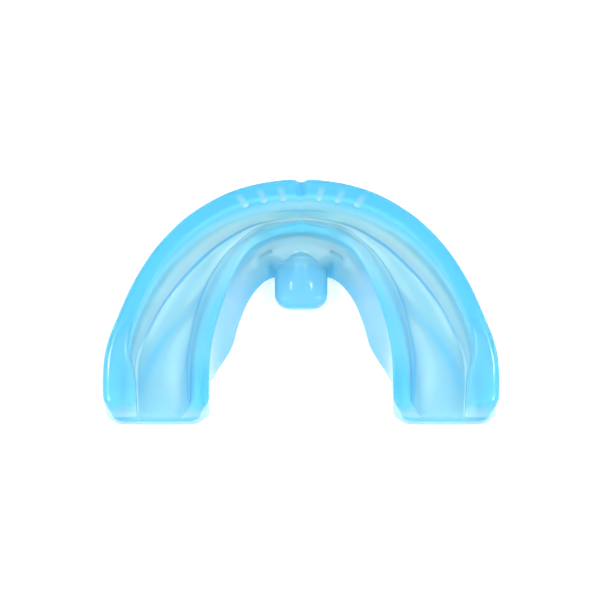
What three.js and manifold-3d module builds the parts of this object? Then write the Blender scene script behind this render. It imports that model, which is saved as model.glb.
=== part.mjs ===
// Preformed two-arch dental trainer tray in soft moulded silicone.
// Millimetres. +X runs to the wearer's left molars, +Y to the lips and +Z to the upper teeth.
// The tray stands on its lower lip rim, and the origin is at the middle of its footprint.
import * as THREE from 'three';
import { mergeVertices } from 'three/addons/utils/BufferGeometryUtils.js';
import Module from 'manifold-3d';

const wasm = await Module();
wasm.setup();

// The arch is described by stations that run from the midline to the molar end.
// At each station a straight section line goes from the lip-side edge to the tongue-side crest edge.
const lipEdgeX = [0, 9.6, 17.2, 22.8, 26.7, 29.5, 31.4, 32, 31.8];
const lipEdgeY = [19.15, 17.7, 13.8, 8.5, 2.7, -3.3, -8.3, -13.3, -19.15];
const crestEdgeX = [0, 4.6, 8.3, 10.8, 12.5, 13.9, 14.6, 14.8, 14.8];
const crestEdgeY = [11, 10.2, 8, 4.1, -0.3, -4.9, -9.3, -13.9, -19.15];

// Distances along the section line, from the lip-side edge.
const rimThickness = [3.3, 3.2, 3.2, 3, 2.8, 2.9, 3.7, 5.2, 5.3];
const wallFoot = [4.5, 4.9, 5.6, 5.8, 5.4, 5, 5, 5.3, 5.4];
const waist = [3.3, 3.3, 3.2, 3.1, 2.9, 2.5, 1.5, 0.6, 0.5];
const wallOutside = [2.4, 2.4, 2.5, 2.5, 2.2, 1.8, 0.9, 0.3, 0.3];
const crestFoot = [4.9, 5.4, 7.4, 9.1, 10.6, 12.1, 13.3, 13.9, 14];
const crestThickness = [1.2, 1.3, 1.6, 1.9, 2.1, 2.4, 2.6, 2.8, 2.9];
const guardFlare = [4, 3.8, 3.2, 2.7, 2.6, 2.7, 0.95, -1.2, -2];

// Heights above the surface that the tray stands on.
const rimHeight = [18.5, 18.5, 18.5, 18.4, 18, 17.2, 16.3, 15.4, 14.8];
const crestHeight = [15.5, 15.5, 15.5, 15.5, 15.4, 15.2, 15, 14.8, 14.6];
const lowerRimHeight = [0, 0, 0, 0, 0, 0.5, 1.6, 2.8, 3.5];
const guardHeight = [1.5, 1.5, 1.5, 1.5, 1.6, 1.9, 2.6, 3.4, 4];
const plateTop = 10.2;
const plateBottom = 7;

const plateOverhang = 0.4;
const lowerRimThickness = 3.2;
const lowerRimOutset = 0.3;
const rimDepth = 2.6;
const guardThickness = 1.8;
const edgeRound = 1.2;
const gap = 0.2;

const frontEnd = 0.27;
const sideStart = 0.275;
const wallEnd = 0.981;
const lowerWallEnd = 0.955;
const cornerRadius = 2.8;
const frontSections = 24;
const sideSections = 18;

const notchWidth = 2.2;
const notchDepth = 1.1;

const airHole = { width: 2.1, height: 1.6, offset: 5.75, length: 20 };
const tag = { width: 8.6, tipY: 1.3, rootY: 12, bottom: 1.4, top: 5, cornerRadius: 2.4, bevel: 0.9 };
const tagDome = { radius: 2.1, length: 4.4, height: 1.6, centreY: 7.4 };
const marker = { offsets: [3.3, 6.6, 9.8], width: 0.9, depth: 0.55, height: 1.6 };

const silicone = { roughness: 0.28, metalness: 0 };
const bodyBlue = 0x8fd9f5;
const rimBlue = 0x6ccff7;
const tagBlue = 0x7fd3ef;

// Uniform Catmull-Rom through evenly spaced station values. Parity is 1 where the
// value is the same on both sides of the midline and -1 where it changes sign.
function along(values, u, parity = 1) {
  const last = values.length - 1;
  const place = Math.min(Math.abs(u), 1) * last;
  const i = Math.min(Math.floor(place), last - 1);
  const t = place - i;
  const before = i > 0 ? values[i - 1] : parity * values[1];
  const after = i + 2 <= last ? values[i + 2] : values[last];
  const v0 = (values[i + 1] - before) / 2;
  const v1 = (after - values[i]) / 2;
  const rise = values[i + 1] - values[i];
  const value = values[i] + t * (v0 + t * (3 * rise - 2 * v0 - v1 + t * (v0 + v1 - 2 * rise)));
  return u < 0 ? parity * value : value;
}

function lipEdge(u) {
  return new THREE.Vector2(along(lipEdgeX, u, -1), along(lipEdgeY, u));
}

function crestEdge(u) {
  return new THREE.Vector2(along(crestEdgeX, u, -1), along(crestEdgeY, u));
}

function sectionLength(u) {
  return lipEdge(u).distanceTo(crestEdge(u));
}

// The point that lies a distance t inward of the lip edge on section line u, at height z.
function placeOnSection(u, t, z) {
  const start = lipEdge(u);
  const inward = crestEdge(u).sub(start).normalize();
  return new THREE.Vector3(start.x + inward.x * t, start.y + inward.y * t, z);
}

// The section line whose lip edge is at sideways offset x, near the midline.
function sectionAtX(x) {
  let u = x / (lipEdgeX[1] * (lipEdgeX.length - 1));
  for (let step = 0; step < 6; step += 1) {
    u += (x - lipEdge(u).x) / (lipEdgeX[1] * (lipEdgeX.length - 1));
  }
  return u;
}

// Joins the rings of a section that changes along the arch into one closed solid.
function loft(from, to, count, section) {
  const positions = [];
  const index = [];
  let size = 0;
  for (let k = 0; k <= count; k += 1) {
    const u = from + ((to - from) * k) / count;
    const ring = section(u);
    size = ring.length;
    ring.forEach(([t, z]) => positions.push(...placeOnSection(u, t, z).toArray()));
  }
  for (let k = 0; k < count; k += 1) {
    for (let j = 0; j < size; j += 1) {
      const a = k * size + j;
      const b = k * size + ((j + 1) % size);
      index.push(a, a + size, b, b, a + size, b + size);
    }
  }
  const startCap = THREE.ShapeUtils.triangulateShape(ringOf(section(from)), []);
  const endCap = THREE.ShapeUtils.triangulateShape(ringOf(section(to)), []);
  startCap.forEach(([a, b, c]) => index.push(a, b, c));
  endCap.forEach(([a, b, c]) => index.push(...[a, c, b].map((i) => i + count * size)));
  const geometry = new THREE.BufferGeometry();
  geometry.setAttribute('position', new THREE.Float32BufferAttribute(positions, 3));
  geometry.setIndex(index);
  return geometry;
}

function ringOf(section) {
  return section.map(([t, z]) => new THREE.Vector2(t, z));
}

function toSolid(geometry) {
  const bare = geometry.clone();
  bare.deleteAttribute('normal');
  bare.deleteAttribute('uv');
  const merged = mergeVertices(bare);
  const vertProperties = new Float32Array(merged.attributes.position.array);
  const triVerts = new Uint32Array(merged.index.array);
  return new wasm.Manifold(new wasm.Mesh({ numProp: 3, vertProperties, triVerts }));
}

function toGeometry(solid) {
  const mesh = solid.getMesh();
  const geometry = new THREE.BufferGeometry();
  geometry.setAttribute('position', new THREE.Float32BufferAttribute(mesh.vertProperties, 3));
  geometry.setIndex(Array.from(mesh.triVerts));
  return geometry;
}

// How deep the midline notch is here: 0 away from the midline and 1 on it.
function notchShape(u) {
  const away = Math.abs(lipEdge(u).x) / (notchWidth / 2);
  return Math.max(0, 1 - away);
}

// How far the rounded molar corners pull both edges of the arch in.
function cornerInset(u) {
  const endLine = lipEdgeY[lipEdgeY.length - 1] + cornerRadius;
  const past = Math.min(Math.max(0, endLine - lipEdge(u).y), cornerRadius);
  return cornerRadius - Math.sqrt(cornerRadius ** 2 - past ** 2);
}

function plateSection(u) {
  const outer = Math.max(along(waist, u), cornerInset(u));
  const inner = sectionLength(u) + plateOverhang - cornerInset(u);
  return [[outer, plateBottom], [inner, plateBottom], [inner, plateTop], [outer, plateTop]];
}

function upperWallSection(u) {
  const top = along(rimHeight, u) - notchDepth * notchShape(u);
  const foot = along(wallFoot, u);
  const rim = along(rimThickness, u);
  const bottom = plateTop + gap;
  const outer = cornerInset(u);
  return [
    [Math.max(along(waist, u), outer), bottom],
    [foot, bottom],
    [foot - 0.3, bottom + 1.4],
    [rim, top - 1.7],
    [rim - 0.2, top - 0.6],
    [rim - edgeRound, top],
    [outer + edgeRound, top],
    [outer + 0.3, top - 0.6],
    [outer, top - 1.7],
    [outer, top - rimDepth],
    [Math.max(along(wallOutside, u), outer), (bottom + top - rimDepth) / 2],
  ];
}

function lowerWallSection(u) {
  const bottom = Math.max(0, along(lowerRimHeight, u)) + notchDepth * notchShape(u);
  const top = plateBottom - gap;
  const foot = along(wallFoot, u);
  const outer = Math.max(lowerRimOutset, cornerInset(u));
  return [
    [outer + 0.5, bottom],
    [lowerRimThickness - 0.6, bottom],
    [lowerRimThickness, bottom + edgeRound],
    [foot - 0.4, top - 0.8],
    [foot, top],
    [Math.max(along(waist, u), outer), top],
    [Math.max(along(wallOutside, u), outer), (top + bottom + 1.8) / 2],
    [outer, bottom + 1.8],
    [outer, bottom + 0.6],
  ];
}

function crestSection(u) {
  const edge = sectionLength(u);
  const thickness = along(crestThickness, u);
  const top = along(crestHeight, u);
  const bottom = plateTop + gap;
  const inner = Math.min(edge + 0.1, edge + plateOverhang - cornerInset(u));
  return [
    [along(crestFoot, u), bottom],
    [edge + plateOverhang - cornerInset(u), bottom],
    [inner, top - 1.6],
    [inner - 0.3, top - 0.4],
    [edge - thickness / 2, top],
    [edge - thickness + 0.2, top - 0.4],
    [edge - thickness, top - 1.2],
  ];
}

// How far the guard's lower edge stands tongue-ward of the crest edge.
function flareAt(u) {
  return Math.max(0, along(guardFlare, u));
}

function guardSection(u) {
  const edge = sectionLength(u) - cornerInset(u);
  const bottom = along(guardHeight, u);
  const top = plateBottom - gap;
  const low = edge + flareAt(u);
  return [
    [low - guardThickness, bottom + 0.6],
    [low - guardThickness + 0.6, bottom],
    [low - 0.5, bottom],
    [low, bottom + 0.7],
    [edge + plateOverhang + 0.4, top - 1.6],
    [edge + plateOverhang, top],
    [edge - guardThickness - 0.4, top],
    [edge - guardThickness + 0.3, top - 1.8],
  ];
}

// All that lies on the lip side of the guard and plate's tongue face, and the gap to it.
function tagCutterSection(u) {
  const edge = sectionLength(u) + gap;
  const low = edge + flareAt(u);
  return [
    [edge - 6, along(guardHeight, u) - 1],
    [low + 0.4, along(guardHeight, u) - 1],
    [low, along(guardHeight, u) + 0.7],
    [edge + plateOverhang + 0.4, plateBottom - gap - 1.6],
    [edge + plateOverhang, plateBottom - gap],
    [edge + plateOverhang, plateTop + gap],
    [edge - 6, plateTop + gap],
  ];
}

function airHoleSolid(side) {
  const box = new THREE.BoxGeometry(airHole.width, airHole.length, airHole.height);
  box.translate(side * airHole.offset, lipEdgeY[0] - airHole.length / 2, (plateTop + plateBottom) / 2);
  return toSolid(box);
}

function frontPlate() {
  let plate = toSolid(loft(-frontEnd, frontEnd, frontSections, plateSection));
  [-1, 1].forEach((side) => {
    plate = plate.subtract(airHoleSolid(side));
  });
  return toGeometry(plate);
}

function tongueTag() {
  const half = tag.width / 2;
  const round = tag.cornerRadius;
  const outline = new THREE.Shape();
  outline.moveTo(-half + tag.bevel, tag.rootY);
  outline.lineTo(-half + tag.bevel, tag.tipY + round);
  outline.absarc(-half + round, tag.tipY + round, round - tag.bevel, Math.PI, 1.5 * Math.PI);
  outline.absarc(half - round, tag.tipY + round, round - tag.bevel, 1.5 * Math.PI, 2 * Math.PI);
  outline.lineTo(half - tag.bevel, tag.rootY);
  const body = new THREE.ExtrudeGeometry(outline, {
    depth: tag.top - tag.bottom - 2 * tag.bevel,
    bevelThickness: tag.bevel,
    bevelSize: tag.bevel,
    bevelSegments: 3,
    curveSegments: 6,
  });
  body.translate(0, 0, tag.bottom + tag.bevel);
  const dome = new THREE.SphereGeometry(1, 20, 12);
  dome.scale(tagDome.radius, tagDome.length, tagDome.height);
  dome.translate(0, tagDome.centreY, tag.top);
  const cutter = toSolid(loft(-frontEnd, frontEnd, frontSections, tagCutterSection));
  return toGeometry(toSolid(body).add(toSolid(dome)).subtract(cutter));
}

function toothMarker(x) {
  const u = sectionAtX(x);
  const rim = along(rimThickness, u);
  const top = along(rimHeight, u) - 1.7;
  const foot = along(wallFoot, u) - 0.3;
  const lean = ((foot - rim) * marker.height) / (top - plateTop - gap - 1.4);
  const halfStep = marker.width / 2 / (lipEdgeX[1] * (lipEdgeX.length - 1));
  return loft(u - halfStep, u + halfStep, 2, () => [
    [rim + lean + gap, top - marker.height],
    [rim + lean + gap + marker.depth * 0.6, top - marker.height + 0.3],
    [rim + gap + marker.depth, top],
    [rim + gap, top + 1],
    [rim + gap - 0.1, top + 0.7],
    [rim + gap + 0.05, top],
  ]);
}

const tray = new THREE.Group();

function addPiece(name, geometry, color) {
  const mesh = new THREE.Mesh(geometry, new THREE.MeshStandardMaterial({ color, ...silicone }));
  mesh.name = name;
  tray.add(mesh);
}

function addFront(name, section, color) {
  addPiece(name, loft(-frontEnd, frontEnd, frontSections, section), color);
}

function addSides(name, end, section, color) {
  addPiece(`${name}_left`, loft(-end, -sideStart, sideSections, section), color);
  addPiece(`${name}_right`, loft(sideStart, end, sideSections, section), color);
}

addPiece('bite_plate_front', frontPlate(), bodyBlue);
addSides('bite_plate', 1, plateSection, bodyBlue);
addFront('upper_labial_wall', upperWallSection, rimBlue);
addSides('upper_buccal_wall', wallEnd, upperWallSection, rimBlue);
addFront('lower_labial_wall', lowerWallSection, rimBlue);
addSides('lower_buccal_wall', lowerWallEnd, lowerWallSection, rimBlue);
addFront('upper_lingual_wall_front', crestSection, bodyBlue);
addSides('upper_lingual_wall', wallEnd, crestSection, bodyBlue);
addFront('tongue_guard_front', guardSection, bodyBlue);
addSides('tongue_guard', lowerWallEnd, guardSection, bodyBlue);
addPiece('tongue_tag', tongueTag(), tagBlue);
marker.offsets.forEach((offset, i) => {
  addPiece(`tooth_marker_left_${i + 1}`, toothMarker(-offset), rimBlue);
  addPiece(`tooth_marker_right_${i + 1}`, toothMarker(offset), rimBlue);
});
export default tray;
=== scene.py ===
"""Soft two-arch dental trainer tray, laid out as a Blender add-on and run as a script."""

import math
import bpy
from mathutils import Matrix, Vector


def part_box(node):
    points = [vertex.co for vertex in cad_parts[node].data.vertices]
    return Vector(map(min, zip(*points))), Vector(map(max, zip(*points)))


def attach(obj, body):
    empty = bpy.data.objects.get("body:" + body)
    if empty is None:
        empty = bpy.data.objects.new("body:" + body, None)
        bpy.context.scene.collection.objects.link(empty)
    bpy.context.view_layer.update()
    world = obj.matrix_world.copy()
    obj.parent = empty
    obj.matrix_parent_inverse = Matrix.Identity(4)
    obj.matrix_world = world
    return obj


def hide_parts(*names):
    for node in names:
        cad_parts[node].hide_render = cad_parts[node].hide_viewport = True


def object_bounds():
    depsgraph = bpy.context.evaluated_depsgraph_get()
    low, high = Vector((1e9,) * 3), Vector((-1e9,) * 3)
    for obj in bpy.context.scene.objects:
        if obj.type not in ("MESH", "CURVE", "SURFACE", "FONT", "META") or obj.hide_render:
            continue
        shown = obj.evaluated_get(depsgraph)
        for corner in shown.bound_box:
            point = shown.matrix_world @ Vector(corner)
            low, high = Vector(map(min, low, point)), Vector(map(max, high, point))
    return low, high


bl_info = {
    "name": "Dental Trainer Tray",
    "version": (1, 0, 0),
    "blender": (4, 5, 0),
    "location": "View3D > Sidebar > Tray",
    "description": "Builds a soft moulded two-arch dental trainer tray around its packed frame",
    "category": "Add Mesh",
}

import bpy
import numpy as np
from bpy.props import (
    FloatProperty,
    FloatVectorProperty,
    IntProperty,
    PointerProperty,
    StringProperty,
)
from mathutils import Vector

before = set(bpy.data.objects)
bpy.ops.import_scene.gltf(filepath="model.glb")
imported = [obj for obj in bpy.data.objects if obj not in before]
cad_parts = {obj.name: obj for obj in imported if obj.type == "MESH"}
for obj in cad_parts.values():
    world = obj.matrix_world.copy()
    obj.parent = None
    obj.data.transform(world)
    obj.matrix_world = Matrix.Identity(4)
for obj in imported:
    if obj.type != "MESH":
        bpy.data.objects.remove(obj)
CAD_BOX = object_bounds()
MM = 0.001
BODY = "tray_body"
# Name of the depth of colour attribute, which carries the silicone's thickness and painted light and
# shade.
DEPTH = "depth_and_painted_light"

PLATE_LOW, PLATE_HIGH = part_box("bite_plate_left")
PLATE_BOTTOM = PLATE_LOW.z / MM
PLATE_TOP = PLATE_HIGH.z / MM
ARCH_END = PLATE_LOW.y / MM
RIM_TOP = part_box("upper_labial_wall")[1].z / MM
PLATE_MIDDLE = (PLATE_TOP + PLATE_BOTTOM) / 2
FRONT_PLATE = [corner.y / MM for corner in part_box("bite_plate_front")]

# The arch, in millimetres. Stations run from the midline to the molar end, and a straight
# section line goes from the lip-side edge to the tongue-side crest edge at each of them.
LIP_EDGE_X = [0, 9.6, 17.2, 22.8, 26.7, 29.5, 31.4, 31.98, 31.8]
LIP_EDGE_Y = [19.15, 17.7, 13.8, 8.5, 2.7, -3.3, -8.3, -13.3, ARCH_END]
CREST_EDGE_X = [0, 4.6, 8.3, 10.8, 12.5, 13.9, 14.6, 14.8, 14.8]
CREST_EDGE_Y = [11, 10.2, 8, 4.1, -0.3, -4.9, -9.3, -13.9, ARCH_END]

# Distances along the section line, from the lip-side edge.
RIM_THICKNESS = [3.3, 3.2, 3.2, 3, 2.8, 2.9, 3.7, 5.2, 5.3]
WALL_FOOT = [4.5, 4.9, 5.6, 5.8, 5.4, 5, 5, 5.3, 5.4]
WAIST = [3.3, 3.3, 3.2, 3.1, 2.9, 2.5, 1.5, 0.6, 0.5]
WALL_OUTSIDE = [2.4, 2.4, 2.5, 2.5, 2.2, 1.8, 0.9, 0.3, 0.3]
CREST_FOOT = [4.9, 5.4, 7.4, 9.1, 10.6, 12.1, 13.3, 13.9, 14]
CREST_THICKNESS = [1.2, 1.3, 1.6, 1.9, 2.1, 2.4, 2.6, 2.8, 2.9]
PLATE_EDGE = [0.4, 0.5, 0.8, 1.1, 1.2, 1.2, 0.5, 0.1, 0.1]
GUARD_FLARE = [4, 3.8, 3.2, 2.7, 2.6, 2.7, 0.95, -1.2, -2]
GUARD_LIP = [2.3, 2.3, 2.1, 1.8, 1.6, 1.5, 1.5, 1.5, 1.5]

# Heights above the surface that the tray stands on.
RIM_HEIGHT = [RIM_TOP, RIM_TOP, RIM_TOP, RIM_TOP - 0.1, RIM_TOP - 0.5, 17.2, 16.3, 15.4, 14.8]
CREST_HEIGHT = [15.5, 15.5, 15.5, 15.5, 15.4, 15.2, 15, 14.8, 14.6]
LOWER_RIM_HEIGHT = [0, 0, 0, 0, 0, 0.5, 1.6, 2.8, 3.5]
GUARD_HEIGHT = [1.5, 1.5, 1.5, 1.5, 1.6, 1.9, 2.6, 3.4, 4]

# How deep the colour is at each line along the arch: THIN_BLUE where the silicone is thin, 1 where it is
# thick and full blue. Each table is also set against the light and shade that falls on its line, so the
# depth is partly the silicone's thickness and partly painted light and shade. Values under THIN_BLUE,
# down to 0 where it is palest, are painted light that lifts the wall's hollow and other steep faces
# where shade falls. The full blue on the rim's shoulder is partly painted shade over its bright
# rounding.
THIN_BLUE = 0.3
RIM_BLUE = [0.9, 1, 1, 1, 1, 0.95, 0.9, 0.9, 0.9]
SHOULDER_BLUE = [1, 1, 1, 1, 1, 1, 0.75, 0.8, 0.8]
BROW_BLUE = [0.3, 0.95, 1, 0.9, 0.8, 0.75, 0.7, 0.1, 0.2]
WALL_BLUE = [0.35, 0.15, 0, 0, 0.05, 0.05, 0, 0, 0.1]
FOOT_BLUE = [0, 0, 0, 0, 0, 0.1, 0.3, 0.35, 0.3]
FLOOR_BLUE = [0, 0, 0.2, 0.4, 0.4, 0.4, 0.4, 0.4, 0.45]
HEEL_BLUE = [0, 0, 0.05, 0.15, 0.15, 0.15, 0.15, 0.15, 0.3]
SLOPE_BLUE = [0.3, 0.05, 0, 0.05, 0.2, 0.2, 0.3, 0.4, 0.4]
CREST_BLUE = [1, 0.75, 0.3, 0.35, 0.5, 0.7, 0.7, 0.9, 0.8]
CREST_EDGE_BLUE = [0.95, 0.85, 0.7, 0.6, 0.9, 0.9, 0.85, 1, 0.9]
TONGUE_BLUE = [0.2, 0.2, 0.35, 0.7, 1, 1, 1, 1, 1]
PLATE_BLUE = [0.1, 0.05, 0, 0.5, 0.9, 0.95, 1, 1, 0.8]
GUARD_BLUE = [0.3, 0.25, 0.5, 0.8, 0.85, 0.85, 1, 1, 0.8]
GUARD_LIP_BLUE = [1, 1, 1, 1, 1, 1, 1, 1, 1]

# What the lines at the wall's foot and the crest's foot add to that depth: painted shade along these
# creases. Under 0, the wall's foot towards the molars gets a paler line, a painted highlight, and the
# depth around it is raised as painted shade. What a soft band across the channel's floor adds is painted
# shade of the parts under the floor, seen through it. The band's place is its share of the way from the
# wall's foot to the crest's foot, and past 1 it is off the floor.
FOOT_SHADE_AND_HIGHLIGHT = [0, 0.4, 0.8, 0.8, 0.7, 0.3, -0.35, -0.4, -0.2]
HEEL_SHADE_LINE = [0.2, 0.4, 0.6, 0.6, 0.6, 0.6, 0.6, 0.6, 0]
FLOOR_SHADE_BAND = [0, 0, 0, 0.15, 0.3, 0.35, 0.35, 0.25, 0]
FLOOR_SHADE_PLACE = [1.5, 1.5, 1.4, 1.2, 0.9, 0.52, 0.3, 0.1, 0]

# Places in the list of corners that tray_corners gives.
SHOULDER_CORNER = 4
WALL_CORNER = 6
FOOT_CORNER = 7
HEEL_CORNER = 10

# Other sizes, in millimetres: the silicone's patterns, how far the air holes' cutters stick out
# of the plate, how near the points of a cut wall lie to its cutter, and the gap under the tray.
PIGMENT_PATCH = 6.25
SKIN_WAVE = 4.55
TOOL_GRAIN = 0.25
CUTTER_REACH = 3
CUT_MARGIN = 0.02
FLOOR_GAP = 0.05

# A corner's rounding takes at most this share of an edge, and lengths are held over TINY.
LONGEST_CUT = 0.48
TINY = 1e-6


def along(values, u, parity=1.0):
    """Cubic through evenly spaced station values, each span's end slopes being half the rise
    from the station before to the station after; parity -1 turns the sign past the midline."""
    knots = np.asarray(values, float)
    last = len(knots) - 1
    padded = np.concatenate([[parity * knots[1]], knots, knots[-1:]])
    place = np.clip(np.abs(u), 0, 1) * last
    i = np.minimum(place.astype(int), last - 1)
    t = place - i
    before, start, end, after = padded[i], padded[i + 1], padded[i + 2], padded[i + 3]
    v0 = (end - before) / 2
    v1 = (after - start) / 2
    rise = end - start
    value = start + t * (v0 + t * (3 * rise - 2 * v0 - v1 + t * (v0 + v1 - 2 * rise)))
    return np.where(u < 0, parity * value, value)


def lip_edge(u):
    """X and Y of the section lines' lip-side ends."""
    return np.stack([along(LIP_EDGE_X, u, -1), along(LIP_EDGE_Y, u)], -1)


def crest_edge(u):
    """X and Y of the section lines' tongue-side ends."""
    return np.stack([along(CREST_EDGE_X, u, -1), along(CREST_EDGE_Y, u)], -1)


def quarter_round(distance, radius):
    """Height of a quarter circle over its foot: 0 at distance 0, 1 at one radius and past it."""
    x = np.clip(distance / radius, 0, 1)
    return np.sqrt(np.maximum(0, 1 - (1 - x) ** 2))


def rounded_rings(corners, cuts, arc_steps, edge_steps):
    """Closed outlines from corner points. Each corner becomes a quadratic curve that leaves and
    joins the straight edges a cut length away, and a cut takes less than half of an edge.
    corners is (rings, corners, 3), distance, height and depth of colour, and so is the result."""

    def cut_towards(neighbours):
        step = neighbours - corners
        length = np.maximum(np.linalg.norm(step[..., :2], axis=2), TINY)
        return corners + step * np.minimum(cuts / length, LONGEST_CUT)[..., None]

    enter = cut_towards(np.roll(corners, 1, 1))
    leave = cut_towards(np.roll(corners, -1, 1))
    t = np.linspace(0, 1, arc_steps)[:, None]
    arcs = (
        (1 - t) ** 2 * enter[:, :, None]
        + 2 * t * (1 - t) * corners[:, :, None]
        + t**2 * leave[:, :, None]
    )
    s = (np.arange(1, edge_steps + 1) / (edge_steps + 1))[:, None]
    edges = (1 - s) * leave[:, :, None] + s * np.roll(enter, -1, 1)[:, :, None]
    return np.concatenate([arcs, edges], 2).reshape(len(corners), -1, 3)


def ring_normals(rings):
    """Outward unit normals of outlines that run clockwise in (inward distance, height)."""
    run = np.roll(rings, -1, 1) - np.roll(rings, 1, 1)
    normal = np.stack([-run[..., 1], run[..., 0]], -1)
    return normal / np.maximum(np.linalg.norm(normal, axis=2, keepdims=True), TINY)


def grid_faces(rows, columns):
    """Quads between neighbouring rows of a grid whose columns close on themselves."""
    k = np.arange(rows - 1)[:, None] * columns
    j = np.arange(columns)[None]
    after = (j + 1) % columns
    quads = np.stack([k + j, k + after, k + columns + after, k + columns + j], -1)
    return quads.reshape(-1, 4)


def solid_from_rings(name, points, blue):
    """A closed mesh through (rings, points, 3) coordinates in millimetres, capped at both ends,
    with the depth of colour of each point as a named attribute."""
    rows, columns = points.shape[:2]
    faces = grid_faces(rows, columns).tolist()
    faces.append(list(range(columns))[::-1])
    faces.append([(rows - 1) * columns + j for j in range(columns)])
    mesh = bpy.data.meshes.new(name)
    mesh.from_pydata((points.reshape(-1, 3) * MM).tolist(), [], faces)
    depth = mesh.attributes.new(DEPTH, "FLOAT", "POINT")
    depth.data.foreach_set("value", np.broadcast_to(blue, (rows, columns)).astype(np.float32).ravel())
    piece = bpy.data.objects.new(name, mesh)
    bpy.context.scene.collection.objects.link(piece)
    return piece


def face_outward(piece):
    """Turns every face outward and makes the whole piece smooth."""
    bpy.context.view_layer.objects.active = piece
    bpy.ops.object.select_all(action="DESELECT")
    piece.select_set(True)
    bpy.ops.object.mode_set(mode="EDIT")
    bpy.ops.mesh.select_all(action="SELECT")
    bpy.ops.mesh.normals_make_consistent(inside=False)
    bpy.ops.object.mode_set(mode="OBJECT")
    piece.data.shade_smooth()


def apply_boolean(piece, other, operation):
    """Joins or cuts piece with another closed solid, and removes that solid."""
    modifier = piece.modifiers.new(operation.title(), "BOOLEAN")
    modifier.operation = operation
    modifier.solver = "EXACT"
    modifier.object = other
    bpy.context.view_layer.objects.active = piece
    bpy.ops.object.modifier_apply(modifier=modifier.name)
    spare = other.data
    bpy.data.objects.remove(other)
    bpy.data.meshes.remove(spare)


def vertex_places(body):
    """Coordinates of every point of the body, in millimetres."""
    place = np.empty(len(body.data.vertices) * 3, np.float32)
    body.data.vertices.foreach_get("co", place)
    return place.reshape(-1, 3) / MM


def vertex_blue(body):
    """Depth of colour at every point of the body."""
    blue = np.empty(len(body.data.vertices), np.float32)
    body.data.attributes[DEPTH].data.foreach_get("value", blue)
    return blue


def station_values(shape):
    """Section lines from one molar end to the other: close together where the tooth marks are
    and at the rounded ends, wider along the limbs."""
    marked = np.linspace(0, shape.marked_reach, shape.marked_sections)
    limb = np.linspace(shape.marked_reach, 1 - shape.end_reach, shape.limb_sections)[1:]
    end = np.linspace(1 - shape.end_reach, 1, shape.end_sections)[1:]
    half = np.concatenate([marked, limb, end])
    return np.concatenate([-half[:0:-1], half])


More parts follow.
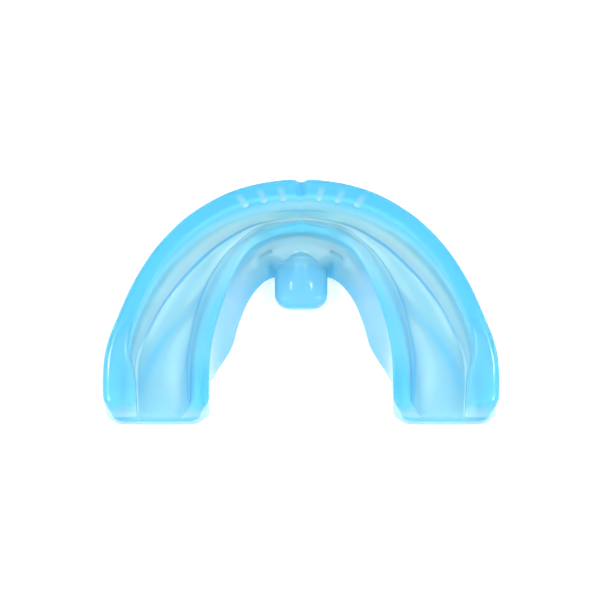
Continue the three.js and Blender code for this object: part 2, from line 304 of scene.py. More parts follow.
def tray_corners(u, shape):
    """Corner points of the H-shaped section on each section line, with the depth of colour as a
    third coordinate, and the length that each corner's rounding cuts off. Distances and heights
    come from the station tables. Near the molar end the walls sink into the plate as quarter
    circles and the section narrows by a quarter circle in plan, and at the midline the rims
    dip as exp(-|x/width|^2.2)."""
    lip = lip_edge(u)
    to_end = lip[:, 1] - ARCH_END
    inset = shape.corner_radius * (1 - quarter_round(to_end, shape.corner_radius))
    up = quarter_round(to_end - shape.wall_setback, shape.wall_end_round)
    down = quarter_round(to_end - shape.lower_setback, shape.wall_end_round)
    dip = np.exp(-np.abs(lip[:, 0] / shape.notch_half_width) ** 2.2)
    ridge = shape.midline_ridge * np.exp(-np.abs(lip[:, 0]) / shape.midline_width)

    # Distances from the lip-side edge.
    thick = along(CREST_THICKNESS, u)
    inner = np.linalg.norm(crest_edge(u) - lip, axis=1) - inset
    outer = inset + shape.notch_sink * dip
    hollow = np.maximum(along(WALL_OUTSIDE, u), inset)
    waist = np.maximum(along(WAIST, u), inset)
    rim = along(RIM_THICKNESS, u)
    brow = rim + shape.brow_slope
    foot = along(WALL_FOOT, u)
    heel = np.minimum(along(CREST_FOOT, u), inner - thick - shape.least_slope)
    crest = inner - thick + shape.crest_lean - ridge
    belly = inner + along(PLATE_EDGE, u)
    guard = inner + np.maximum(0, along(GUARD_FLARE, u))
    lower_rim = np.full_like(u, shape.lower_rim)
    lower_outer = np.maximum(shape.lower_outset, inset)

    # Heights.
    top_round, low_round = shape.plate_edge_round, shape.plate_low_round
    top = PLATE_TOP - top_round * (1 - quarter_round(to_end, top_round))
    bottom = PLATE_BOTTOM + low_round * (1 - quarter_round(to_end, low_round))
    middle = np.full_like(u, PLATE_MIDDLE)
    rim_z = along(RIM_HEIGHT, u) - shape.notch_depth * dip
    crest_z = along(CREST_HEIGHT, u)
    guard_z = along(GUARD_HEIGHT, u)
    low_z = np.maximum(0, along(LOWER_RIM_HEIGHT, u)) + shape.notch_depth * dip

    def raised(z):
        return top + up * (z - top)

    def lowered(z):
        return bottom + down * (z - bottom)

    def between(a, b, share):
        return a + (b - a) * share

    # Depths of colour: the walls' own fades into one for the plate's end. At its very edge, and on what
    # faces sideways there, it deepens into painted shade, the shade of faces seen at a grazing angle.
    edge_share = np.exp(-((to_end / shape.end_band) ** 2))
    end_tone = shape.end_blue + (shape.edge_shade_blue - shape.end_blue) * edge_share

    def tone(values):
        return end_tone + (along(values, u) - end_tone) * up**4

    def side_tone(values):
        return tone(values) + (shape.edge_shade_blue - tone(values)) * np.minimum(inset, 1)

    rim_foot = rim_z - shape.rim_depth
    brow_z = raised(rim_z - shape.brow_depth)
    lower_foot = low_z + shape.lower_rim_depth
    # Distance, height, cut and depth of colour, from the waist over the upper side and back.
    corners = [
        (waist, middle, 1.2, side_tone(PLATE_BLUE)),
        (hollow, raised(between(PLATE_TOP, rim_foot, 0.5)), 1.4, tone(WALL_BLUE)),
        (outer, raised(rim_foot), 0.9, side_tone(RIM_BLUE)),
        (outer, raised(rim_z), 1.2, side_tone(RIM_BLUE)),
        (rim, raised(rim_z), 0.9, tone(SHOULDER_BLUE)),
        (brow, brow_z, 0.9, tone(BROW_BLUE)),
        (between(brow, foot, 0.5), between(brow_z, top, 0.5), 1, tone(WALL_BLUE)),
        (foot, top, 0.7, tone(FOOT_BLUE)),
        (between(foot, heel, 0.35), top, 0.8, tone(FLOOR_BLUE)),
        (between(foot, heel, 0.75), top, 0.8, tone(HEEL_BLUE)),
        (heel, top, 1.1, tone(SLOPE_BLUE)),
        (crest, raised(crest_z), 0.8, tone(CREST_BLUE)),
        (inner, raised(crest_z), 0.8, side_tone(CREST_EDGE_BLUE)),
        (between(inner, belly, 0.15), raised(between(crest_z, middle, 0.15)), 0.6,
         tone(CREST_EDGE_BLUE)),
        (between(inner, belly, 0.4), raised(between(crest_z, middle, 0.4)), 1, tone(TONGUE_BLUE)),
        (belly, middle, 2, side_tone(PLATE_BLUE)),
        (between(belly, guard, 0.6), lowered(between(middle, guard_z, 0.6)), 1, tone(GUARD_BLUE)),
        (guard, lowered(guard_z), 0.6, side_tone(GUARD_LIP_BLUE)),
        (guard - along(GUARD_LIP, u), lowered(guard_z), 0.8, tone(GUARD_LIP_BLUE)),
        (inner - shape.guard_root, bottom, 1, tone(GUARD_BLUE)),
        (foot - shape.lower_slope, bottom, 0.8, tone(FOOT_BLUE)),
        (lower_rim, lowered(low_z + shape.lower_brow_depth), 0.8, tone(BROW_BLUE)),
        (lower_rim, lowered(low_z), 0.8, tone(RIM_BLUE)),
        (lower_outer, lowered(low_z), 0.8, side_tone(RIM_BLUE)),
        (lower_outer, lowered(lower_foot), 0.8, side_tone(BROW_BLUE)),
        (hollow, lowered(between(PLATE_BOTTOM, lower_foot, 0.5)), 1.2, tone(WALL_BLUE)),
    ]
    points = np.stack([np.stack([t, z, blue], -1) for t, z, _, blue in corners], 1)
    return points, np.array([cut for _, _, cut, _ in corners])[None]


def distance_from(corner, rings, shape):
    """Distance along each outline from the middle of one corner's rounding, growing round it."""
    middle = corner * (shape.arc_steps + shape.edge_steps) + shape.arc_steps // 2
    steps = np.linalg.norm(np.diff(rings[..., :2], axis=1), axis=2)
    run = np.concatenate([np.zeros((len(rings), 1)), np.cumsum(steps, 1)], 1)
    return run - run[:, middle : middle + 1]


def raise_marks(rings, u, shape):
    """Lifts a short rounded rib across the rim's inner shoulder at each tooth mark. Height falls
    off as exp(-(x/width)^4) sideways and exp(-(a/length)^4) along the outline, and the same
    share takes the deep colour away."""
    a = distance_from(SHOULDER_CORNER, rings, shape)
    lengthwise = np.exp(-((a / shape.mark_length) ** 4))
    places = np.array([shape.mark_first, shape.mark_second, shape.mark_third])
    away = np.abs(lip_edge(u)[:, :1]) - places[None]
    sideways = np.exp(-((away / shape.mark_width) ** 4)).sum(1)
    share = sideways[:, None] * lengthwise
    marked = rings.copy()
    marked[..., :2] += ring_normals(rings) * (shape.mark_height * share)[..., None]
    marked[..., 1] = np.minimum(marked[..., 1], RIM_TOP)
    marked[..., 2] *= 1 - shape.mark_paleness * share
    return marked


def paint_crease_light_and_shade(rings, u, shape):
    """Paints light and shade into the depth of colour. Along three lines it paints shade as
    exp(-(a/width)^2) of the distance a along the outline, and a paler painted highlight where a line's
    strength is under 0. In a soft band that crosses each channel's floor it paints shade as
    exp(-(s/width)^2) of the share s of the floor."""
    painted = rings.copy()
    # Painted shade: a dark line along the lip wall's hollow near the midline, for lines of the lower
    # side seen through the wall.
    hollow_shade_line = shape.hollow_shade_line * np.exp(-((lip_edge(u)[:, 0] / shape.hollow_reach) ** 6))
    for corner, strength in (
        (WALL_CORNER, hollow_shade_line),
        (FOOT_CORNER, along(FOOT_SHADE_AND_HIGHLIGHT, u)),
        (HEEL_CORNER, along(HEEL_SHADE_LINE, u)),
    ):
        a = distance_from(corner, rings, shape)
        painted[..., 2] += strength[:, None] * np.exp(-((a / shape.crease_width) ** 2))
    # Painted shade in a band across the channel's floor, for the parts under it seen through the floor.
    foot = along(WALL_FOOT, u)[:, None]
    share = (rings[..., 0] - foot) / (along(CREST_FOOT, u)[:, None] - foot)
    off_shade_band = (share - along(FLOOR_SHADE_PLACE, u)[:, None]) / shape.shade_band_width
    on_floor = (share > 0) & (share < 1) & (rings[..., 1] > PLATE_MIDDLE)
    shade_band = along(FLOOR_SHADE_BAND, u)[:, None] * np.exp(-(off_shade_band**2)) * on_floor
    painted[..., 2] = np.clip(painted[..., 2] + shade_band, 0, 1)
    return painted


def close_ends(outlines, share):
    """Adds a smaller copy of each end outline about its own middle, so that the flat end caps
    keep a narrow border and shade evenly."""
    ends = outlines[[0, -1]]
    smaller = ends * share + ends.mean(1, keepdims=True) * (1 - share)
    return np.concatenate([smaller[:1], outlines, smaller[1:]])


def tray_points(shape):
    """Carries the rounded H section along the arch: lip edge plus inward distance, and height.
    Gives X, Y, Z and the depth of colour at each point."""
    u = station_values(shape)
    corners, cuts = tray_corners(u, shape)
    rings = rounded_rings(corners, cuts, shape.arc_steps, shape.edge_steps)
    rings = paint_crease_light_and_shade(raise_marks(rings, u, shape), u, shape)
    lip = lip_edge(u)
    inward = crest_edge(u) - lip
    inward /= np.linalg.norm(inward, axis=1, keepdims=True)
    plan = lip[:, None] + inward[:, None] * rings[..., :1]
    return close_ends(np.concatenate([plan, rings[..., 1:]], 2), shape.cap_share)


def superellipse(squareness, points):
    """X and Z of |x|^n + |z|^n = 1 with n the squareness, each a power of a cosine or a sine."""
    angle = np.linspace(0, 2 * math.pi, points, endpoint=False)
    waves = np.stack([np.cos(angle), np.sin(angle)])
    return np.sign(waves) * np.abs(waves) ** (2 / squareness)


def tag_points(tag):
    """A pillow that runs from its tip to a root buried in the guard. Each ring is a superellipse
    in X and Z. Its half width and half thickness follow quarter circles at the tip and flare out
    again as a quarter circle at the root. A ridge stands on the middle of the upper side: it
    rises as a smooth step along the tag and falls off as exp(-|x/width|^2.6) sideways."""
    corner_end = tag.tip_y + tag.corner_radius
    y = np.concatenate([
        corner_end - tag.corner_radius * np.cos(np.linspace(0, math.pi / 2, tag.tip_rings)),
        np.linspace(corner_end, tag.root_y, tag.body_rings)[1:],
    ])
    from_tip = y - tag.tip_y
    into_root = np.clip((y - tag.face_y + tag.flare) / tag.flare, 0, 1)
    flare = tag.flare * (1 - np.sqrt(np.maximum(0, 1 - into_root**2)))
    corner = tag.corner_radius * (1 - quarter_round(from_tip, tag.corner_radius))
    half_width = tag.half_width - corner + flare
    thinning = tag.half_thickness - tag.tip_half_thickness
    thinning = thinning * (1 - quarter_round(from_tip, tag.tip_round))
    half_thickness = tag.half_thickness - thinning + tag.flare_lift * flare
    unit_x, unit_z = superellipse(tag.squareness, tag.points)
    x = half_width[:, None] * unit_x
    z = half_thickness[:, None] * unit_z
    rise = np.clip((y - tag.ridge_start) / (tag.face_y - tag.ridge_start), 0, 1)
    ridge_height = tag.ridge_height * rise**2 * (3 - 2 * rise)
    ridge = ridge_height[:, None] * np.exp(-np.abs(x / tag.ridge_half_width) ** 2.6)
    z = z + ridge * (z > 0)
    return np.stack([x, np.broadcast_to(y[:, None], x.shape), z + tag.middle_z], -1)


def colour_holes(body, holes):
    """Gives the walls of the air holes their depth of colour once they are cut, deeper than the plate
    around them: a painted shade inside the holes.
    """
    place = vertex_places(body)
    blue = vertex_blue(body)
    sideways = np.abs(np.abs(place[:, 0]) - holes.offset) < holes.width / 2 + CUT_MARGIN
    upward = np.abs(place[:, 2] - PLATE_MIDDLE) < holes.height / 2 + CUT_MARGIN
    blue[sideways & upward] = holes.blue
    body.data.attributes[DEPTH].data.foreach_set("value", blue)


def colour_tag(body, tag):
    """Gives the tag its depth of colour once it is joined on. The colour eases into the guard's own
    towards the root. Along the tag's edge it is full blue, a painted shade at the outline. A painted
    shade in the fillet on each side of the root falls off as exp(-(sideways / width)^2 - (lengthwise /
    length)^2)."""
    x, y, _ = vertex_places(body).T
    blue = vertex_blue(body)
    on_tag = np.clip((tag.face_y - y) / tag.ease, 0, 1) * (np.abs(x) < tag.half_width + tag.flare)
    sideways = (np.abs(x) - tag.half_width) / tag.root_shade_width
    lengthwise = (y - tag.face_y + tag.flare) / tag.root_shade_length
    # Painted shade in the fillets beside the root.
    patch = tag.root_shade_blue * np.exp(-(sideways**2) - lengthwise**2)
    edge = np.maximum(np.abs(x) - tag.half_width, tag.tip_y - y) / tag.edge_width + 1
    tone = tag.blue + (1 - tag.blue) * np.clip(edge, 0, 1)
    blue = np.maximum(blue + on_tag * (tone - blue), patch)
    body.data.attributes[DEPTH].data.foreach_set("value", blue)


def hole_points(side, holes):
    """A straight cutter with a superellipse section, run through the plate from tongue side to
    lip side."""
    unit_x, unit_z = superellipse(holes.squareness, holes.points)
    x = holes.width / 2 * unit_x + side * holes.offset
    z = holes.height / 2 * unit_z + PLATE_MIDDLE
    y = np.array([[FRONT_PLATE[0] - CUTTER_REACH], [FRONT_PLATE[1] + CUTTER_REACH]])
    return np.stack(np.broadcast_arrays(x, y, z), -1)


def srgb(hex_text):
    """Linear colour from an sRGB hex string."""
    channels = [int(hex_text[i : i + 2], 16) / 255 for i in (1, 3, 5)]
    linear = [c / 12.92 if c <= 0.04045 else ((c + 0.055) / 1.055) ** 2.4 for c in channels]
    return (*linear, 1)


def add_node(tree, kind, links=None, **settings):
    """Adds a node, sets its properties or named sockets, and links its inputs."""
    node = tree.nodes.new(kind)
    for key, value in settings.items():
        if hasattr(node, key):
            setattr(node, key, value)
        else:
            node.inputs[key.replace("_", " ")].default_value = value
    for socket, source in (links or {}).items():
        tree.links.new(source, node.inputs[socket])
    return node


def silicone_material(finish):
    """Medical silicone rubber, pigmented blue and moulded in a polished steel tool: milky and
    translucent under a glossy skin. Its colour follows the depth of colour, pale where the silicone is
    thin and full blue where it is thick, with the painted light and shade that the depth also carries."""
    material = bpy.data.materials.new("silicone_rubber_blue_moulded")
    material.use_nodes = True
    tree = material.node_tree
    tree.nodes.clear()
    place = add_node(tree, "ShaderNodeTexCoord").outputs["Object"]
    # The pigment is a little uneven, in soft patches.
    cloud = add_node(
        tree, "ShaderNodeTexNoise", {"Vector": place},
        Scale=1 / (PIGMENT_PATCH * MM), Detail=3, Roughness=0.5,
    )
    patch = add_node(tree, "ShaderNodeMapRange", {"Value": cloud.outputs["Fac"]})
    patch.inputs["To Min"].default_value = -finish.patchiness
    patch.inputs["To Max"].default_value = finish.patchiness
    depth = add_node(tree, "ShaderNodeAttribute", attribute_name=DEPTH)
    blue = add_node(tree, "ShaderNodeMath", operation="ADD", use_clamp=True)
    tree.links.new(depth.outputs["Fac"], blue.inputs[0])
    tree.links.new(patch.outputs["Result"], blue.inputs[1])
    # The ramp runs from the palest colour, painted light for hollows where shade falls, through the thin
    # colour to the thick colour, which also serves the painted shade.
    tint = add_node(tree, "ShaderNodeValToRGB", {"Fac": blue.outputs["Value"]})
    tint.color_ramp.elements.new(THIN_BLUE)
    for element, colour in zip(
        tint.color_ramp.elements, (finish.pale_hex, finish.thin_hex, finish.thick_and_shade_hex)
    ):
        element.color = srgb(colour)
    # The moulded skin has a slow waviness, and a fine texture from the tool. Real tool marks are
    # finer still, and are drawn as coarse as they need to show.
    grain = add_node(
        tree, "ShaderNodeTexNoise", {"Vector": place}, Scale=1 / (TOOL_GRAIN * MM), Detail=2,
    )
    wave = add_node(
        tree, "ShaderNodeTexNoise", {"Vector": place}, Scale=1 / (SKIN_WAVE * MM), Detail=1,
    )
    gloss = add_node(tree, "ShaderNodeMapRange", {"Value": wave.outputs["Fac"]})
    gloss.inputs["To Min"].default_value = finish.roughness - finish.unevenness
    gloss.inputs["To Max"].default_value = finish.roughness + finish.unevenness
    low = add_node(
        tree, "ShaderNodeBump", {"Height": wave.outputs["Fac"]}, Strength=0.1, Distance=0.4 * MM,
    )
    fine = add_node(
        tree, "ShaderNodeBump", {"Height": grain.outputs["Fac"], "Normal": low.outputs["Normal"]},
        Strength=0.04, Distance=0.05 * MM,
    )
    # Silicone's index of refraction is about 1.41, which the skin has. The body's own is matched
    # lower, because its steep faces would mirror the pale floor too strongly.
    shader = add_node(
        tree, "ShaderNodeBsdfPrincipled",
        {
            "Base Color": tint.outputs["Color"],
            "Roughness": gloss.outputs["Result"],
            "Normal": fine.outputs["Normal"],
        },
        IOR=finish.refraction,
    )
    for socket, value in (
        ("Transmission Weight", finish.transmission),
        ("Coat Weight", finish.coat),
        ("Coat Roughness", finish.coat_roughness),
        ("Coat IOR", finish.skin_refraction),
        ("Specular IOR Level", finish.shine),
        ("Subsurface Weight", finish.scatter),
        ("Subsurface Radius", finish.scatter_tint),
        ("Subsurface Scale", finish.scatter_reach),
    ):
        shader.inputs[socket].default_value = value
    absorb = add_node(tree, "ShaderNodeVolumeAbsorption")
    absorb.inputs["Color"].default_value = srgb(finish.depth_hex)
    absorb.inputs["Density"].default_value = finish.density
    add_node(
        tree, "ShaderNodeOutputMaterial",
        {"Surface": shader.outputs["BSDF"], "Volume": absorb.outputs["Volume"]},
    )
    return material


def opal_acrylic_material(setup):
    """Opal acrylic of a studio light table: matt white, with an even glow from below."""
    material = bpy.data.materials.new("opal_acrylic_matt")
    material.use_nodes = True
    sockets = material.node_tree.nodes["Principled BSDF"].inputs
    sockets["Base Color"].default_value = srgb(setup.table_hex)
    sockets["Roughness"].default_value = 0.9
    sockets["Emission Color"].default_value = srgb("#ffffff")
    sockets["Emission Strength"].default_value = setup.table_glow
    return material


def lay_table(scene, setup):
    """A square floor just under the tray."""
    reach, z = setup.table_reach, CAD_BOX[0][2] - FLOOR_GAP * MM
    corners = [(-reach, -reach, z), (reach, -reach, z), (reach, reach, z), (-reach, reach, z)]
    mesh = bpy.data.meshes.new("floor")
    mesh.from_pydata(corners, [], [(0, 1, 2, 3)])
    mesh.materials.append(opal_acrylic_material(setup))
    floor = bpy.data.objects.new("floor", mesh)
    scene.collection.objects.link(floor)


def light_room(scene, setup):
    """Even white surroundings, and a strip lamp on each side that points at the tray."""
    world = bpy.data.worlds.new("white_room")
    world.use_nodes = True
    background = world.node_tree.nodes["Background"].inputs
    background["Color"].default_value = srgb("#ffffff")
    background["Strength"].default_value = setup.sky
    scene.world = world
    for name, side in (("left_lamp", -1), ("right_lamp", 1)):
        light = bpy.data.lights.new(name, "AREA")
        light.shape = "RECTANGLE"
        light.size = setup.lamp_width
        light.size_y = setup.lamp_length
        light.energy = setup.lamp_power
        place = Vector((side, 1, 1)) * Vector(setup.lamp_place)
        lamp = bpy.data.objects.new(name, light)
        lamp.location = place
        lamp.rotation_euler = (-place).to_track_quat("-Z", "Y").to_euler()
        scene.collection.objects.link(lamp)


def aim_camera(scene, setup):
    """A long lens over the open end, far enough away to frame the view's width."""
    lens = bpy.data.cameras.new("camera")
    lens.lens = setup.lens
    distance = setup.view_width * setup.lens / lens.sensor_width
    toward = Vector((0, -math.cos(setup.elevation), math.sin(setup.elevation)))
    camera = bpy.data.objects.new("camera", lens)
    camera.location = Vector(setup.aim) + toward * distance
    camera.rotation_euler = (-toward).to_track_quat("-Z", "Y").to_euler()
    scene.collection.objects.link(camera)
    scene.camera = camera


class TrayShape(bpy.types.PropertyGroup):
    """Sizes of the moulded body in millimetres, its depths of colour, and how finely it is
    sliced."""

    rim_depth: FloatProperty(
        name="Rim Depth", description="Height of the full rim over its hollow", default=2.6,
    )
    corner_radius: FloatProperty(
        name="Corner Radius", description="Plan radius of the molar corners", default=3.3,
    )
    wall_setback: FloatProperty(
        name="Wall Setback", description="Upper walls end this far from the end", default=0.5,
    )
    lower_setback: FloatProperty(
        name="Lower Setback", description="Lower walls end this far from the end", default=1.6,
    )
    wall_end_round: FloatProperty(
        name="Wall End Round", description="Radius over the ends of the walls", default=1.5,
    )
    plate_edge_round: FloatProperty(
        name="Upper Edge Round", description="Radius of the plate's upper end edge", default=1.3,
    )
    plate_low_round: FloatProperty(
        name="Lower Edge Round", description="Radius of the plate's lower end edge", default=0.3,
    )
    notch_half_width: FloatProperty(
        name="Notch Half Width", description="Half width of the midline notch", default=0.85,
    )
    notch_depth: FloatProperty(name="Notch Depth", description="Depth of the midline notch", default=1.0)
    notch_sink: FloatProperty(
        name="Notch Sink", description="How far the notch sinks into the lip side", default=0.2,
    )
    brow_depth: FloatProperty(
        name="Brow Depth", description="Height of the rim's steep inner face", default=2.5,
    )
    brow_slope: FloatProperty(
        name="Brow Slope", description="How far that face leans inwards", default=0.15,
    )
    crest_lean: FloatProperty(
        name="Crest Lean", description="How far the crest's lip side leans in", default=0.1,
    )
    least_slope: FloatProperty(
        name="Least Slope", description="Least run of the slope up to the crest", default=0.2,
    )
    guard_root: FloatProperty(
        name="Guard Root", description="From the crest edge to the guard's inner face", default=0.8,
    )
    lower_rim: FloatProperty(
        name="Lower Rim", description="Lower wall thickness at its rim", default=3.2,
    )
    lower_outset: FloatProperty(
        name="Lower Outset", description="Lower wall's outer face line", default=0.4,
    )
    lower_rim_depth: FloatProperty(
        name="Lower Rim Depth", description="Height of the lower rim's outer face", default=2.0,
    )
    lower_brow_depth: FloatProperty(
        name="Lower Brow Depth", description="Height of the lower rim's inner face", default=1.5,
    )
    lower_slope: FloatProperty(
        name="Lower Slope", description="Lower wall's foot stands this far out", default=0.1,
    )
    mark_first: FloatProperty(
        name="First Mark", description="Sideways place of the first tooth mark", default=3.7,
    )
    mark_second: FloatProperty(
        name="Second Mark", description="Sideways place of the second mark", default=7.4,
    )
    mark_third: FloatProperty(
        name="Third Mark", description="Sideways place of the third mark", default=11.0,
    )
    mark_width: FloatProperty(name="Mark Width", description="Half width of a tooth mark", default=0.6)
    mark_length: FloatProperty(
        name="Mark Length", description="Half length of a tooth mark", default=1.6,
    )
    mark_height: FloatProperty(
        name="Mark Height", description="How far a tooth mark stands out", default=0.35,
    )
    midline_ridge: FloatProperty(
        name="Midline Ridge", description="How far the crest's ridge stands out", default=0.7,
    )
    midline_width: FloatProperty(
        name="Midline Ridge Width", description="Half width of the crest's ridge", default=1.6,
    )
    end_blue: FloatProperty(name="End Colour", description="Depth of colour past the walls", default=0.4)
    # Painted shade on the end edge and on what faces sideways there.
    edge_shade_blue: FloatProperty(
        name="Edge Colour", description="Depth of colour on the end edge", default=0.95,
    )
    end_band: FloatProperty(name="End Band", description="Width of the end edge's colour", default=0.4)
    mark_paleness: FloatProperty(
        name="Mark Paleness", description="Colour that a mark loses", default=0.6,
    )
    crease_width: FloatProperty(
        name="Crease Width", description="Width of a crease's line", default=0.22,
    )
    # Strength of that painted shade line on the lip wall.
    hollow_shade_line: FloatProperty(
        name="Hollow Line", description="Strength of the line on the lip wall", default=1.0,
    )
    hollow_reach: FloatProperty(name="Hollow Reach", description="Half length of that line", default=5.2)
    # Width of the painted shade band across the floor.
    shade_band_width: FloatProperty(
        name="Band Width", description="Share of the floor that the band takes", default=0.14,
    )
    marked_reach: FloatProperty(
        name="Marked Reach", description="Share of the arch sliced finely", default=0.17,
    )
    end_reach: FloatProperty(
        name="End Reach", description="Share at the end sliced finely", default=0.07,
    )
    marked_sections: IntProperty(
        name="Marked Sections", description="Slices in the marked part", default=72,
    )
    limb_sections: IntProperty(name="Limb Sections", description="Slices along a limb", default=60)
    end_sections: IntProperty(name="End Sections", description="Slices at a rounded end", default=34)
    cap_share: FloatProperty(
        name="Cap Share", description="Size of the end caps inside their border", default=0.94,
    )
    arc_steps: IntProperty(name="Arc Steps", description="Points round each corner", default=7)
    edge_steps: IntProperty(name="Edge Steps", description="Points inside each edge", default=4)


class TagShape(bpy.types.PropertyGroup):
    """Sizes of the tongue tag in millimetres, and its depths of colour."""

    tip_y: FloatProperty(name="Tip", description="Where the tag ends", default=1.3)
    root_y: FloatProperty(name="Root", description="End of the part buried in the guard", default=9.9)
    face_y: FloatProperty(name="Face", description="Where the tag meets the guard's face", default=8.8)
    middle_z: FloatProperty(name="Middle Height", description="Height of the tag's middle", default=3.2)
    half_width: FloatProperty(name="Half Width", description="Half the tag's width", default=4.3)
    half_thickness: FloatProperty(
        name="Half Thickness", description="Half the tag's thickness", default=1.8,
    )
    tip_half_thickness: FloatProperty(
        name="Tip Half Thickness", description="Half the thickness at the tip", default=0.5,
    )
    tip_round: FloatProperty(
        name="Tip Round", description="Length over which the tip thins", default=1.7,
    )
    corner_radius: FloatProperty(name="Corner Radius", description="Plan radius at the tip", default=2.4)
    flare: FloatProperty(name="Root Fillet", description="Fillet radius at the guard", default=1.1)
    flare_lift: FloatProperty(
        name="Fillet Lift", description="Share of the fillet in the thickness", default=0.5,
    )
    squareness: FloatProperty(name="Squareness", description="Power of the section", default=3.4)
    ridge_start: FloatProperty(name="Ridge Start", description="Where the ridge begins", default=2.6)
    ridge_height: FloatProperty(
        name="Ridge Height", description="Ridge height at the guard", default=1.7,
    )
    ridge_half_width: FloatProperty(
        name="Ridge Half Width", description="Half the ridge's width", default=2.0,
    )
    blue: FloatProperty(name="Depth of Colour", description="0 pale to 1 full blue", default=0.7)
    # The full blue edge is painted shade at the tag's outline.
    edge_width: FloatProperty(name="Edge Width", description="Width of the full blue edge", default=0.5)
    ease: FloatProperty(name="Ease", description="Length over which the colour changes", default=1.6)
    # Painted shade in the fillets beside the root.
    root_shade_blue: FloatProperty(
        name="Patch Colour", description="Depth of colour beside the root", default=0.85,
    )
    root_shade_width: FloatProperty(
        name="Patch Width", description="Sideways reach of that patch", default=2.3,
    )
    root_shade_length: FloatProperty(
        name="Patch Length", description="Lengthwise reach of that patch", default=1.2,
    )
    points: IntProperty(name="Points", description="Points round the section", default=96)
    tip_rings: IntProperty(name="Tip Rings", description="Sections round the tip", default=18)
    body_rings: IntProperty(name="Body Rings", description="Sections along the rest", default=34)


class HoleShape(bpy.types.PropertyGroup):
    """Sizes of the air holes through the front of the plate, in millimetres."""

    width: FloatProperty(name="Width", description="Width of an air hole", default=2.1)
    height: FloatProperty(name="Height", description="Height of an air hole", default=1.0)
    offset: FloatProperty(name="Offset", description="Distance from the midline", default=5.75)
    squareness: FloatProperty(name="Squareness", description="Power of the section", default=5)
    # Depth of colour of the hole walls, a painted shade inside the holes.
    blue: FloatProperty(name="Depth of Colour", description="0 pale to 1 full blue", default=0.5)
    points: IntProperty(name="Points", description="Points round the section", default=40)


class TrayFinish(bpy.types.PropertyGroup):
    """Colours and gloss of the silicone."""

    # The palest colour is painted light for the hollows where shade falls.
    pale_hex: StringProperty(name="Pale", description="Colour where it is palest", default="#e4fcff")
    thin_hex: StringProperty(
        name="Thin", description="Colour where the silicone is thin", default="#a8d7df",
    )
    # The thick colour also serves the painted shade along creases and edges.
    thick_and_shade_hex: StringProperty(name="Thick", description="Colour where it is thick", default="#65c8f0")
    patchiness: FloatProperty(name="Patchiness", description="Unevenness of the pigment", default=0.05)
    depth_hex: StringProperty(
        name="Depth", description="Light left after passing through", default="#3fecff",
    )
    density: FloatProperty(name="Density", description="Absorption per metre", default=40)
    roughness: FloatProperty(
        name="Roughness", description="Middle roughness", default=0.2, subtype="FACTOR",
    )
    unevenness: FloatProperty(
        name="Unevenness", description="Roughness to each side of it", default=0.04,
    )
    transmission: FloatProperty(
        name="Transmission", description="Clear share", default=0.6, subtype="FACTOR",
    )
    refraction: FloatProperty(name="Refraction", description="Index of refraction", default=1.25)
    skin_refraction: FloatProperty(name="Skin Refraction", description="Index of the skin", default=1.41)
    shine: FloatProperty(
        name="Shine", description="Mirror share of the surface", default=0.3, subtype="FACTOR",
    )
    coat: FloatProperty(
        name="Skin Gloss", description="Strength of the glossy skin", default=0.25, subtype="FACTOR",
    )
    coat_roughness: FloatProperty(
        name="Skin Roughness", description="Roughness of the skin", default=0.07,
    )
    scatter: FloatProperty(
        name="Scatter", description="Milky share of the body", default=0.8, subtype="FACTOR",
    )
    scatter_reach: FloatProperty(
        name="Scatter Reach", description="How far light spreads", default=0.006, unit="LENGTH",
    )
    scatter_tint: FloatVectorProperty(
        name="Scatter Tint", description="Share of that reach for red, green and blue",
        default=(0.4, 0.8, 1),
    )


class StageSetup(bpy.types.PropertyGroup):
    """Camera, floor and light."""

    elevation: FloatProperty(
        name="Elevation", description="Camera height over the horizon",
        default=math.radians(75), subtype="ANGLE",
    )
    view_width: FloatProperty(
        name="View Width", description="Width the frame shows", default=0.0972, unit="LENGTH",
    )
    lens: FloatProperty(
        name="Lens", description="Focal length in millimetres", default=500, unit="CAMERA",
    )
    aim: FloatVectorProperty(
        name="Aim", description="Point at the middle of the frame",
        default=(-0.00018, 0.0012, 0.009), subtype="XYZ", unit="LENGTH",
    )
    sky: FloatProperty(name="Sky", description="Strength of the white surroundings", default=1.06)
    table_hex: StringProperty(name="Table", description="Colour of the floor", default="#dadada")
    table_glow: FloatProperty(name="Table Glow", description="Light from the floor", default=0.52)
    table_reach: FloatProperty(
        name="Table Reach", description="Half the floor's width", default=1.5, unit="LENGTH",
    )
    lamp_place: FloatVectorProperty(
        name="Lamp Place", description="Place of the right lamp, which the left one mirrors",
        default=(0.25, -0.05, 0.45), subtype="XYZ", unit="LENGTH",
    )
    lamp_width: FloatProperty(
        name="Lamp Width", description="Width of a strip lamp", default=0.012, unit="LENGTH",
    )
    lamp_length: FloatProperty(
        name="Lamp Length", description="Length of a strip lamp", default=0.192, unit="LENGTH",
    )
    lamp_power: FloatProperty(
        name="Lamp Power", description="Power of a lamp", default=1.2, unit="POWER",
    )


class TRAY_OT_body(bpy.types.Operator):
    """Moulds the two channels, their walls, the guard and the tooth marks as one body"""

    bl_idname = "tray.body"
    bl_label = "Mould Body"

    def execute(self, context):
        points = tray_points(context.scene.tray_shape)
        body = solid_from_rings(BODY, points[..., :3], points[..., 3])
        face_outward(body)
        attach(body, "root")
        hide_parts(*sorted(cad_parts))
        return {"FINISHED"}


class TRAY_OT_tag(bpy.types.Operator):
    """Moulds the tongue tag onto the guard"""

    bl_idname = "tray.tag"
    bl_label = "Add Tongue Tag"

    def execute(self, context):
        body = bpy.data.objects[BODY]
        tag = solid_from_rings("tag_blank", tag_points(context.scene.tray_tag), 0)
        face_outward(tag)
        apply_boolean(body, tag, "UNION")
        colour_tag(body, context.scene.tray_tag)
        return {"FINISHED"}


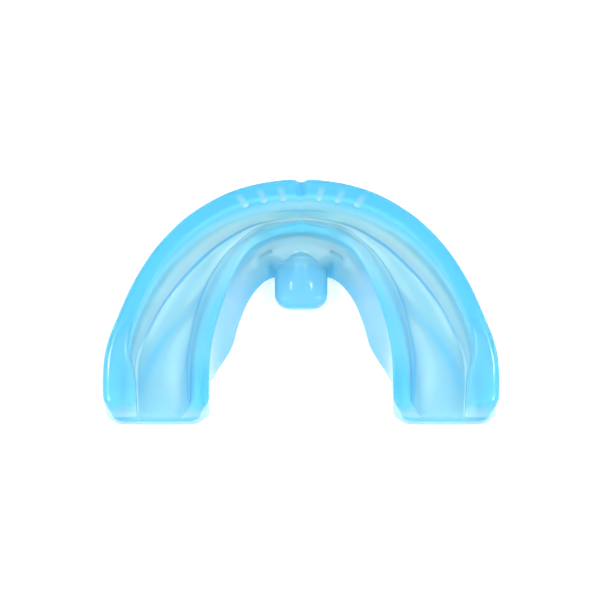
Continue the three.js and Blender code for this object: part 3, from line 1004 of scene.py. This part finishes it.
class TRAY_OT_holes(bpy.types.Operator):
    """Pierces the two air holes through the front of the plate"""

    bl_idname = "tray.holes"
    bl_label = "Pierce Air Holes"

    def execute(self, context):
        for side in (-1, 1):
            hole = solid_from_rings("hole_blank", hole_points(side, context.scene.tray_holes), 0)
            face_outward(hole)
            apply_boolean(bpy.data.objects[BODY], hole, "DIFFERENCE")
        colour_holes(bpy.data.objects[BODY], context.scene.tray_holes)
        return {"FINISHED"}


class TRAY_OT_finish(bpy.types.Operator):
    """Gives the body its translucent blue silicone"""

    bl_idname = "tray.finish"
    bl_label = "Apply Silicone"

    def execute(self, context):
        mesh = bpy.data.objects[BODY].data
        if not mesh.polygons:
            raise RuntimeError("the moulded body lost its faces")
        mesh.shade_smooth()
        mesh.materials.clear()
        mesh.materials.append(silicone_material(context.scene.tray_finish))
        return {"FINISHED"}


class TRAY_OT_stage(bpy.types.Operator):
    """Adds the pale floor, soft studio lights and the camera"""

    bl_idname = "tray.stage"
    bl_label = "Set Stage"

    def execute(self, context):
        scene = context.scene
        setup = scene.tray_stage
        lay_table(scene, setup)
        light_room(scene, setup)
        aim_camera(scene, setup)
        scene.view_settings.view_transform = "Standard"
        return {"FINISHED"}


class TRAY_PT_panel(bpy.types.Panel):
    """Lists the tray's builders and their sizes"""

    bl_idname = "TRAY_PT_panel"
    bl_label = "Dental Trainer Tray"
    bl_space_type = "VIEW_3D"
    bl_region_type = "UI"
    bl_category = "Tray"

    def draw(self, context):
        for operator, group in PARTS.items():
            self.layout.operator(f"tray.{operator}")
            settings = getattr(context.scene, group)
            for name in settings.__annotations__:
                self.layout.prop(settings, name)


GROUPS = {
    "tray_shape": TrayShape,
    "tray_tag": TagShape,
    "tray_holes": HoleShape,
    "tray_finish": TrayFinish,
    "tray_stage": StageSetup,
}
OPERATORS = (TRAY_OT_body, TRAY_OT_tag, TRAY_OT_holes, TRAY_OT_finish, TRAY_OT_stage)
PARTS = dict(zip(("body", "tag", "holes", "finish", "stage"), GROUPS))
CLASSES = (*GROUPS.values(), *OPERATORS, TRAY_PT_panel)


def register():
    for cls in CLASSES:
        bpy.utils.register_class(cls)
    for name, group in GROUPS.items():
        setattr(bpy.types.Scene, name, PointerProperty(type=group))


def unregister():
    for name in GROUPS:
        delattr(bpy.types.Scene, name)
    for cls in reversed(CLASSES):
        bpy.utils.unregister_class(cls)


def main():
    register()
    for operator in PARTS:
        getattr(bpy.ops.tray, operator)()


if __name__ == "__main__":
    main()
